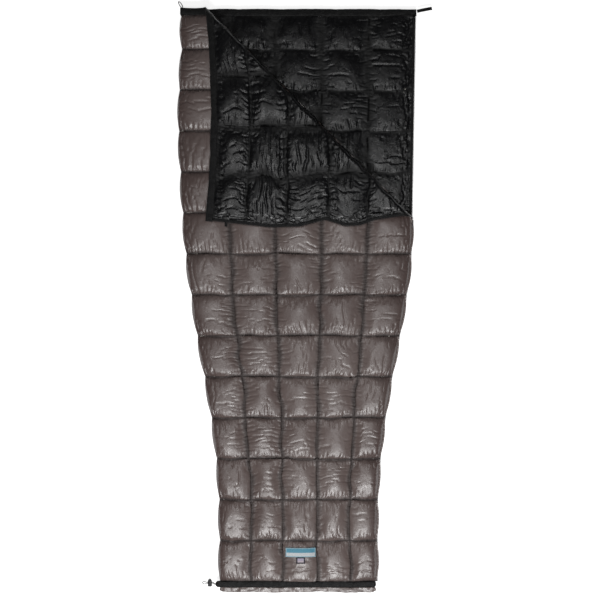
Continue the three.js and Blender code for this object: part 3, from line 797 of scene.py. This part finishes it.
def label_cloth(name, centre, size, border, frame_shade, high_shade, low_shade):
    """A woven label: a border around an upper and a lower band."""
    mat, tree, shader, where = material(name)
    split = tree.nodes.new("ShaderNodeSeparateXYZ")
    tree.links.new(where, split.inputs[0])

    def maths(operation, first, second):
        made = node(tree, "ShaderNodeMath", operation=operation)
        for socket, value in zip(made.inputs, (first, second)):
            if isinstance(value, float):
                socket.default_value = value
            else:
                tree.links.new(value, socket)
        return made.outputs[0]

    def threads(shade):
        return ramp(tree, noise(tree, where, 260, 3.0), [(0.3, tuple(v * 0.8 for v in shade)), (0.7, shade)])

    def mix(share, first, second):
        made = node(tree, "ShaderNodeMix", data_type="RGBA")
        tree.links.new(share, made.inputs["Factor"])
        tree.links.new(first, made.inputs["A"])
        tree.links.new(second, made.inputs["B"])
        return made.outputs["Result"]

    off_x = maths("ABSOLUTE", maths("SUBTRACT", split.outputs["X"], centre[0]), 0.0)
    up_y = maths("SUBTRACT", split.outputs["Y"], centre[1])
    bands = mix(maths("GREATER_THAN", up_y, -0.001), threads(low_shade), threads(high_shade))
    past_x = maths("GREATER_THAN", off_x, size[0] / 2 - border)
    past_y = maths("GREATER_THAN", maths("ABSOLUTE", up_y, 0.0), size[1] / 2 - border)
    colour = mix(maths("MAXIMUM", past_x, past_y), bands, threads(frame_shade))
    tree.links.new(colour, shader.inputs["Base Color"])
    shader.inputs["Roughness"].default_value = 0.7
    bump(tree, shader, [(weave(tree, where, 0.0008), 0.5, 0.0003)])
    return mat


# ---------------------------------------------------------------- putting pieces on bodies
def place(obj, body, nodes, look):
    if look is not None:
        obj.data.materials.clear()
        obj.data.materials.append(look)
    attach(obj, body)
    if nodes:
        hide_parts(*([nodes] if isinstance(nodes, str) else nodes))
    return obj


SIM_STEPS = 200
SCALLOP = 0.0080  # how far the outline swells between two row seams
SHELL_TOP, LINING_TOP, INNER_TOP = 0.0508, 0.0232, -0.0246

# the front shell, and the back shell as its mirror image resting on the ground
SHELL_SEAM = FRONT_SEAM_Z + HALF_SEAM
lay_shell, shell_cloth = cloth(11, SHELL_STRIP, -0.0005, SHELL_SEAM, SHELL_TOP, SIDE_HIGH + 0.0010, 0.17,
                               0.06, 0.0020, SCALLOP, SIM_STEPS, push=0.8e-4, bend=0.005, over_zip=0.0065)
lay_lining, lining_cloth = cloth(23, LINING_STRIP, 0.0007, BACK_SEAM_Z + HALF_SEAM, LINING_TOP,
                                 SIDE_LOW + 0.0008, 0.10, 0.04, 0.0008, SCALLOP, SIM_STEPS, push=0.6e-4,
                                 bend=0.004, band=0.014)
INNER_SEAM = FRONT_SEAM_Z - HALF_SEAM
lay_inner, inner_cloth = cloth(37, LINING_STRIP, 0.0007, -INNER_SEAM, INNER_TOP,
                               -(SIDE_HIGH - 0.0008), 0.17, 0.08, 0.0020, SCALLOP, SIM_STEPS,
                               push=0.8e-4, bend=0.008, warp=0.020, seed_depth=0.007, band=0.014)
inner_cloth[2] *= -1

under_cloth = shell_cloth.copy()
under_cloth[2] = np.maximum(BACK_SEAM_Z - HALF_SEAM - (shell_cloth[2] - SHELL_SEAM), 0.0003)

front_shell = grid_object("front_shell_cloth", shell_cloth, lay_shell)
front_shell, flap_shell = fold_apart(front_shell, "flap_shell_cloth", inset=0.0008, under=0.0016)
front_lining = grid_object("front_lining_cloth", inner_cloth[:, ::-1], lay_inner, True)
front_lining, flap_lining = fold_apart(front_lining, "flap_lining_cloth")
back_lining = grid_object("back_lining_cloth", lining_cloth, lay_lining)
back_shell = grid_object("back_shell_cloth", under_cloth[:, ::-1], lay_shell, True)


def filling(name, top, bottom):
    """The down between two sheets: a closed form through every third point."""
    step = 3
    rows = np.unique(np.append(np.arange(0, top.shape[1], step), top.shape[1] - 1))
    cols = np.unique(np.append(np.arange(0, top.shape[2], step), top.shape[2] - 1))
    under = np.array([np.interp(xt, xb, zb) for xt, xb, zb in zip(top[0], bottom[0], bottom[2])])
    over, reach = top[2].copy(), step
    for axis in (0, 1):
        for shift in range(1, reach + 1):
            for sign in (shift, -shift):
                over = np.minimum(over, np.roll(over, sign, axis))
                under = np.maximum(under, np.roll(under, sign, axis))
    middle = top.copy()
    middle[2] = (over + under) / 2
    middle[0] = np.clip(middle[0], np.maximum(top[0][:, :1], bottom[0][:, :1]) + 0.002,
                        np.minimum(top[0][:, -1:], bottom[0][:, -1:]) - 0.004)
    half = np.maximum((over - under) / 2 - 0.0012, 0.0002)
    middle, half = middle[:, rows][:, :, cols], half[rows][:, cols]
    t, b = middle.copy(), middle.copy()
    t[2] += half
    b[2] -= half
    count = t[0].size
    nr, nc = t.shape[1:]
    index = np.arange(count).reshape(nr, nc)
    faces = []
    for j in range(nr - 1):
        for i in range(nc - 1):
            ring = (index[j, i], index[j, i + 1], index[j + 1, i + 1], index[j + 1, i])
            faces.append(ring)
            faces.append(tuple(v + count for v in ring[::-1]))
    rim = list(index[0]) + list(index[1:, -1]) + list(index[-1, -2::-1]) + list(index[-2:0:-1, 0])
    for k, v in enumerate(rim):
        w = rim[(k + 1) % len(rim)]
        faces.append((w, v, v + count, w + count))
    points = np.concatenate([t.reshape(3, -1).T, b.reshape(3, -1).T])
    return new_object(name, points, faces)


back_down = filling("back_down_fill", lining_cloth, under_cloth)
front_down = filling("front_down_fill", shell_cloth, inner_cloth)
front_down, flap_down = fold_apart(front_down, "flap_down_fill", True, 0.028)

for piece, body, nodes, slot_name, look in [
    (back_shell, "back", "back_shell", "shell", SHELL),
    (back_lining, "back", "back_lining", "lining", LINING),
    (back_down, "back", "back_down", "down", DOWN),
    (front_shell, "front", "front_shell", "shell", SHELL),
    (front_lining, "front", "front_lining", "lining", LINING),
    (front_down, "front", "front_down", "down", DOWN),
    (flap_shell, "flap", "flap_shell", "shell", SHELL),
    (flap_lining, "flap", "flap_lining", "lining", LINING),
    (flap_down, "flap", "flap_down", "down", DOWN),
]:
    place(piece, body, nodes, look)

# ---------------------------------------------------------------- stitching
STITCH_PITCH = 0.0042
STITCH = np.array([(-0.0013, 0, -0.0003), (-0.0006, -0.0003, 0.0001), (0.0006, -0.0003, 0.0001),
                   (0.0013, 0, -0.0003), (0.0006, 0.0003, 0.0001), (-0.0006, 0.0003, 0.0001), (0, 0, 0.0004)])
STITCH_FACES = [(0, 1, 6), (1, 2, 6), (2, 3, 6), (3, 4, 6), (4, 5, 6), (5, 0, 6), (0, 5, 4, 3, 2, 1)]


def stitching(name, sheet, lay, up):
    """One stitch after another along every quilted seam."""
    lines = [sheet[:, r, :lay.cells * lay.spans + 1] for r in np.flatnonzero(lay.on_row)]
    lines += [sheet[:, :, c] for c in np.flatnonzero(lay.on_col)[1:-1]]
    points, faces = [], []
    for line in lines:
        step = np.linalg.norm(np.diff(line[:2], axis=1), axis=0)
        along = np.append(0, np.cumsum(step))
        at = np.arange(STITCH_PITCH / 2, along[-1], STITCH_PITCH)
        centre = np.stack([np.interp(at, along, axis) for axis in line], -1)
        ahead = np.stack([np.interp(at + 0.001, along, axis) for axis in line[:2]], -1) - centre[:, :2]
        ahead /= np.linalg.norm(ahead, axis=1)[:, None] + 1e-9
        side = np.stack([-ahead[:, 1], ahead[:, 0]], -1)
        flat = (centre[:, None, :2] + ahead[:, None] * STITCH[None, :, :1]
                + side[:, None] * STITCH[None, :, 1:2])
        high = centre[:, 2, None] + up * STITCH[None, :, 2]
        for ring in np.concatenate([flat, high[..., None]], -1):
            first = len(points)
            points.extend(ring)
            faces.extend(tuple(first + v for v in face) for face in STITCH_FACES)
    return new_object(name, points, faces, False)


for side, sheet, lay, up, look in (("front_shell", shell_cloth, lay_shell, 1, THREAD),
                                   ("back_shell", under_cloth, lay_shell, -1, THREAD),
                                   ("front_lining", inner_cloth, lay_inner, -1, BLACK_THREAD),
                                   ("back_lining", lining_cloth, lay_lining, 1, BLACK_THREAD)):
    sewn = stitching(f"{side}_stitching", sheet, lay, up)
    body = side.split("_")[0]
    if body == "front":
        sewn, turned = fold_apart(sewn, f"flap_{side[6:]}_stitching", inset=0.004)
        place(turned, "flap", None, look)
    place(sewn, body, None, look)

# ---------------------------------------------------------------- sewn bands
trim_noise = np.random.default_rng(5)


def band(name, x0, x1, y, z, wide, thick, wave=0.0012, crease=0.0006, spans=None, taper=0.0):
    """A soft flat band along X, gathered a little across its length."""
    spans = spans or max(12, int((x1 - x0) / 0.004))
    t = np.linspace(0, 1, spans + 1)
    path = np.stack([x0 + (x1 - x0) * t, np.full_like(t, y), np.full_like(t, z)], -1)
    slow = value_noise(spans + 1, 2, 12, 1, trim_noise)[:, 0]
    path[:, 1] += wave * slow
    path[:, 2] += 0.4 * wave * value_noise(spans + 1, 2, 9, 1, trim_noise)[:, 0]
    section = np.repeat(oval(wide, thick, 20, 0.45)[None], spans + 1, 0)
    ripple = value_noise(spans + 1, 20, 2.2, 3, trim_noise)
    section[..., 1] += np.sign(section[..., 1]) * ripple * crease
    section[..., 0] += np.sign(section[..., 0]) * value_noise(spans + 1, 20, 4, 6, trim_noise) * crease
    if taper:
        ends = np.clip(np.minimum(t, 1 - t) * (x1 - x0) / taper, 0.15, 1) ** 0.5
        section *= ends[:, None, None]
    return sweep(name, path, section, (0, 1, 0))


head_half = HEAD_WIDTH / 2
back_hem = band("back_head_band", -head_half, head_half, HEAD_Y - HEM / 2 - 0.0008, BACK_SEAM_Z, HEM + 0.001,
                HEM_THICK + 0.001)
front_hem = band("front_head_band", -head_half, head_half, HEAD_Y - HEM / 2 - 0.0008, FRONT_SEAM_Z,
                 HEM + 0.001, HEM_THICK + 0.001)
front_hem, flap_hem = fold_apart(front_hem, "flap_head_band", True)
place(back_hem, "back", "back_head_hem", TRIM)
place(front_hem, "front", "front_head_hem", TRIM)
place(flap_hem, "flap", "flap_head_hem", TRIM)

for side, z, poke in (("back", BACK_SEAM_Z, 0.0), ("front", FRONT_SEAM_Z, CHANNEL_POKE)):
    channel = band(f"{side}_foot_tunnel", LEFT - poke, FOOT_RIGHT, CHANNEL_Y + 0.0006, z, CHANNEL + 0.001,
                   CHANNEL_THICK, 0.0010, 0.0009, taper=0.006)
    place(channel, side, f"{side}_foot_channel", TRIM)
    edge = band(f"{side}_foot_ruffle", LEFT + 0.002, FOOT_RIGHT, FOOT_Y + FOOT_EDGE / 2 + 0.0008, z,
                FOOT_EDGE + 0.0015, FOOT_EDGE_THICK + 0.001, 0.0022, 0.0012, taper=0.01)
    place(edge, side, f"{side}_foot_edge", SHELL)


def up_path(x_of_y, y0, y1, z, spans):
    y = np.linspace(y0, y1, spans + 1)
    return np.stack([x_of_y(y), y, np.full_like(y, z)], -1)


TAPE_SHOWS = 0.006


def tape(name, z):
    path = up_path(lambda y: fabric_edge(y) + (TAPE_REACH - TAPE_SHOWS) / 2, FOOT_SEAM, HEAD_SEAM - GAP, z,
                   300)
    path[:, 2] += 0.0003 * value_noise(301, 2, 6, 1, trim_noise)[:, 0]
    wide = TAPE_SHOWS + TAPE_REACH - 2 * GAP
    return sweep(name, path, oval(wide, TAPE_THICK, 12, 0.35), (1, 0, 0))


def coil(name, z):
    """Every turn of the zip's coil."""
    turns = int((HEAD_SEAM - FOOT_SEAM - 0.0093) / 0.0026)
    t = np.arange(turns * 8 + 1) / 8
    y = FOOT_SEAM + 0.0045 + t * 0.0026
    x = half_width(y) - COIL_RADIUS
    a = t * math.tau
    r = COIL_RADIUS - 0.00035
    path = np.stack([x + r * np.cos(a), y, z + r * np.sin(a)], -1)
    return sweep(name, path, oval(0.0007, 0.0007, 5, 1))


COIL_DROP = COIL_RADIUS + GAP / 2
back_tape = tape("back_zip_band", LOFT + GAP + TAPE_THICK / 2)
front_tape = tape("front_zip_band", LOFT + INNER_GAP - GAP - TAPE_THICK / 2)
front_tape, flap_tape = fold_apart(front_tape, "flap_zip_band", True)
back_coil = coil("back_zip_teeth", ZIP_Z - COIL_DROP)
front_coil = coil("front_zip_teeth", ZIP_Z + COIL_DROP)
front_coil, flap_coil = fold_apart(front_coil, "flap_zip_teeth", False)
place(back_tape, "back", "back_zip_tape", TRIM)
place(front_tape, "front", "front_zip_tape", TRIM)
place(flap_tape, "flap", "flap_zip_tape", TRIM)
place(back_coil, "back", "back_zip_coil", COIL)
place(front_coil, "front", "front_zip_coil", COIL)
place(flap_coil, "flap", "flap_zip_coil", COIL)

# side seam: both shells meet in a narrow binding down the left
left_edge = shell_cloth[:2, :, 0]
seam_path = np.stack([left_edge[0] + 0.0012, left_edge[1], np.full(lay_shell.rows, ZIP_Z)], -1)
seam_section = np.repeat(oval(0.0026, 0.0116, 12, 0.7)[None], lay_shell.rows, 0)
seam_section = seam_section + 0.0003 * value_noise(lay_shell.rows, 12, 3, 3, trim_noise)[..., None]
side_seam = sweep("side_seam_binding", seam_path, seam_section, (1, 0, 0))
side_seam.data.materials.append(TRIM)
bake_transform(side_seam)
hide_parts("side_seam")

# the drawcord runs through both channels
drawcord.data.materials.append(CORD)
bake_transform(drawcord)
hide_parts("foot_drawcord")

# ---------------------------------------------------------------- small sewn pieces
label_y = FOOT_SEAM + ROW - 0.037


def drape_on(sheet, x, y, lift):
    """Heights of the cloth under some points."""
    flat_x, flat_y = sheet[0].ravel(), sheet[1].ravel()
    near = (np.abs(flat_x - x.mean()) < 0.09) & (np.abs(flat_y - y.mean()) < 0.05)
    px, py, pz = flat_x[near], flat_y[near], sheet[2].ravel()[near]
    out = np.empty(len(x))
    for i, (a, b) in enumerate(zip(x, y)):
        d = (px - a) ** 2 + (py - b) ** 2
        pick = np.argpartition(d, 12)[:12]
        out[i] = pz[pick].max()
    return out + lift


def patch(name, x0, x1, y0, y1, nx, ny, lift, thick=0.0006):
    x, y = np.meshgrid(np.linspace(x0, x1, nx + 1), np.linspace(y0, y1, ny + 1))
    z = drape_on(shell_cloth, x.ravel(), y.ravel(), lift).reshape(x.shape)
    for _ in range(6):
        flat = np.pad(z, 1, "edge")
        z = np.maximum(z, (flat[:-2, 1:-1] + flat[2:, 1:-1] + flat[1:-1, :-2] + flat[1:-1, 2:]) / 4)
    obj = grid_object(name, np.stack([x, y, z]))
    mod = obj.modifiers.new("thickness", "SOLIDIFY")
    mod.thickness = thick
    mod.offset = 1
    return obj


LABEL_X, LABEL_WIDE, LABEL_HIGH, TAG_WIDE, TAG_HIGH = 0.007, 0.099, 0.030, 0.029, 0.021
label = patch("label_patch", LABEL_X - LABEL_WIDE / 2, LABEL_X + LABEL_WIDE / 2, label_y - LABEL_HIGH / 2,
              label_y + LABEL_HIGH / 2, 44, 14, 0.0006)
place(label, "front", "woven_label",
      label_cloth("label_weave", (LABEL_X, label_y), (LABEL_WIDE, LABEL_HIGH), 0.003, (0.30, 0.45, 0.52),
                  (0.09, 0.29, 0.40), (0.58, 0.61, 0.63)))
tag_y = label_y - LABEL_HIGH / 2 - GAP - TAG_HIGH / 2
tag = patch("tag_patch", LABEL_X - TAG_WIDE / 2, LABEL_X + TAG_WIDE / 2, tag_y - TAG_HIGH / 2,
            tag_y + TAG_HIGH / 2, 16, 12, 0.0006)
place(tag, "front", "small_tag",
      label_cloth("tag_weave", (LABEL_X, tag_y), (TAG_WIDE, TAG_HIGH), 0.004, (0.012, 0.010, 0.020),
                  (0.40, 0.36, 0.46), (0.46, 0.40, 0.44)))


def ribbon_loop(name, centre, long, wide, thick, turn, height):
    a = np.linspace(0, math.tau, 49)[:-1]
    r = np.stack([np.cos(a) * (long - height) / 2, np.sin(a) * (wide - height) / 2, np.zeros(48)], -1)
    out_dir = np.stack([np.cos(a) / long, np.sin(a) / wide, np.zeros(48)], -1)
    out_dir /= np.linalg.norm(out_dir, axis=1)[:, None]
    points, faces = [], []
    ring = oval(height, thick, 8, 0.6)
    for k in range(48):
        for u, v in ring:
            points.append(r[k] + out_dir[k] * u + np.array((0, 0, v)))
    for k in range(48):
        for c in range(8):
            p, q = k * 8 + c, k * 8 + (c + 1) % 8
            k2 = (k + 1) % 48
            faces.append((p, q, k2 * 8 + (c + 1) % 8, k2 * 8 + c))
    obj = new_object(name, points, faces)
    obj.data.transform(Matrix.Translation(centre) @ Matrix.Rotation(turn, 4, "Z"))
    orient(obj)
    return obj


loop = ribbon_loop("corner_ribbon", (-head_half, HEAD_Y + GAP + 0.0135, BACK_SEAM_Z), 0.027, 0.010, 0.004,
                   math.pi * 0.68, 0.0026)
place(loop, "back", "corner_loop", TRIM)

strap_line = [(0, 0.0), (0.015, 0.0012), (0.030, 0.0008), (0.044, -0.0002), (0.0495, -0.003),
              (0.0505, -0.006)]
strap_path = catmull([(x, 0, z) for x, z in strap_line], 6, 0.5)
strap = sweep("corner_webbing", strap_path, oval(0.011, 0.0018, 12, 0.4), (0, 1, 0))
strap.data.transform(Matrix.Translation((head_half + 0.0022, HEAD_Y - 0.0075, BACK_SEAM_Z + 0.0009))
                     @ Matrix.Rotation(0.2, 4, "Z"))
place(strap, "back", "corner_strap", TRIM)

tab_y = HEAD_Y - 0.069
tab_x = float(half_width(tab_y))
tab_path = catmull([(tab_x - 0.002, tab_y, ZIP_Z + 0.0006), (tab_x + 0.004, tab_y, ZIP_Z + 0.0012),
                    (tab_x + 0.011, tab_y, ZIP_Z + 0.0006)], 6, 0.5)
tab = sweep("flap_pull_tab", tab_path, oval(0.009, 0.0014, 12, 0.4), (0, 1, 0))
set_coords(tab, turn_over(coords(tab)))
orient(tab)
place(tab, "flap", "flap_tab", TRIM)

stop_low, stop_high = (np.array(corner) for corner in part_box("flap_head_stop"))
stop_mid, stop_size = (stop_low + stop_high) / 2, stop_high - stop_low
stop_path = stop_mid + np.outer(np.linspace(-0.5, 0.5, 7), (stop_size[0], 0, 0))
stop_ends = np.array([0.7, 0.93, 1, 1, 1, 0.93, 0.7])[:, None, None]
stop_section = oval(stop_size[1], stop_size[2], 16, 0.5)[None] * stop_ends
head_stop = sweep("flap_head_clamp", stop_path, stop_section, (0, 1, 0))
set_coords(head_stop, settle(coords(head_stop)))
place(head_stop, "flap", "flap_head_stop", METAL)

# the lock's spring, its coils spread over the spring part's length
spring_low, spring_high = (np.array(corner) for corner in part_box("lock_spring"))
spring_mid = (spring_low + spring_high) / 2
WIRE, TURNS, PRESS = 0.0004, 4.5, 0.004
coil_angle = np.linspace(0, TURNS * math.tau, 181)
coil_reach = (spring_high[0] - spring_low[0]) / 2 - WIRE
coil_y = np.linspace(spring_low[1] + WIRE, spring_high[1] - WIRE, 181)
spring = sweep("lock_coil", np.stack([spring_mid[0] + coil_reach * np.cos(coil_angle), coil_y,
                                      spring_mid[2] + coil_reach * np.sin(coil_angle)], -1),
               oval(2 * WIRE, 2 * WIRE, 8, 1))
place(spring, "lock", "lock_spring", SPRING)
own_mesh(spring)

# ---------------------------------------------------------------- carried-over hardware
for name, look in (("zip_slider", METAL), ("zip_pull", METAL), ("zip_foot_stop", METAL),
                   ("back_head_stop", METAL), ("lock_barrel", PLASTIC), ("lock_button", PLASTIC)):
    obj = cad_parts[name]
    for index in range(max(1, len(obj.material_slots))):
        obj.material_slots[index].material = look

# ---------------------------------------------------------------- studio
floor_data = bpy.data.meshes.new("floor")
floor_data.from_pydata([(-60, -60, -0.0005), (60, -60, -0.0005), (60, 60, -0.0005), (-60, 60, -0.0005)],
                       [], [(0, 1, 2, 3)])
floor = bpy.data.objects.new("floor", floor_data)
bpy.context.collection.objects.link(floor)
floor_mat, floor_tree, floor_shader, floor_where = material("pale_floor")
pale = ramp(floor_tree, noise(floor_tree, floor_where, 2.0), [(0.3, (0.90,) * 3), (0.7, (0.92,) * 3)])
floor_tree.links.new(pale, floor_shader.inputs["Base Color"])
floor_shader.inputs["Roughness"].default_value = 0.9
floor_shader.inputs["Specular IOR Level"].default_value = 0.1
floor_shader.inputs["Emission Color"].default_value = (1, 1, 1, 1)
floor_shader.inputs["Emission Strength"].default_value = 0.72
floor_data.materials.append(floor_mat)

area_light("key", (0, -2.1, 3.0), (0, -0.1, 0), (1.0, 1.3), 90)
area_light("top", (0, 0.2, 3.3), (0, 0.1, 0), (0.40, 1.4), 19)
world = bpy.data.worlds.new("studio")
bpy.context.scene.world = world
world.use_nodes = True
world.node_tree.nodes["Background"].inputs["Color"].default_value = (1, 1, 1, 1)
seen = world.node_tree.nodes.new("ShaderNodeLightPath")
strength = node(world.node_tree, "ShaderNodeMapRange", To_Min=0.07, To_Max=0.80)
world.node_tree.links.new(seen.outputs["Is Camera Ray"], strength.inputs["Value"])
world.node_tree.links.new(strength.outputs["Result"], world.node_tree.nodes["Background"].inputs["Strength"])
bpy.context.scene.view_settings.view_transform = "Standard"
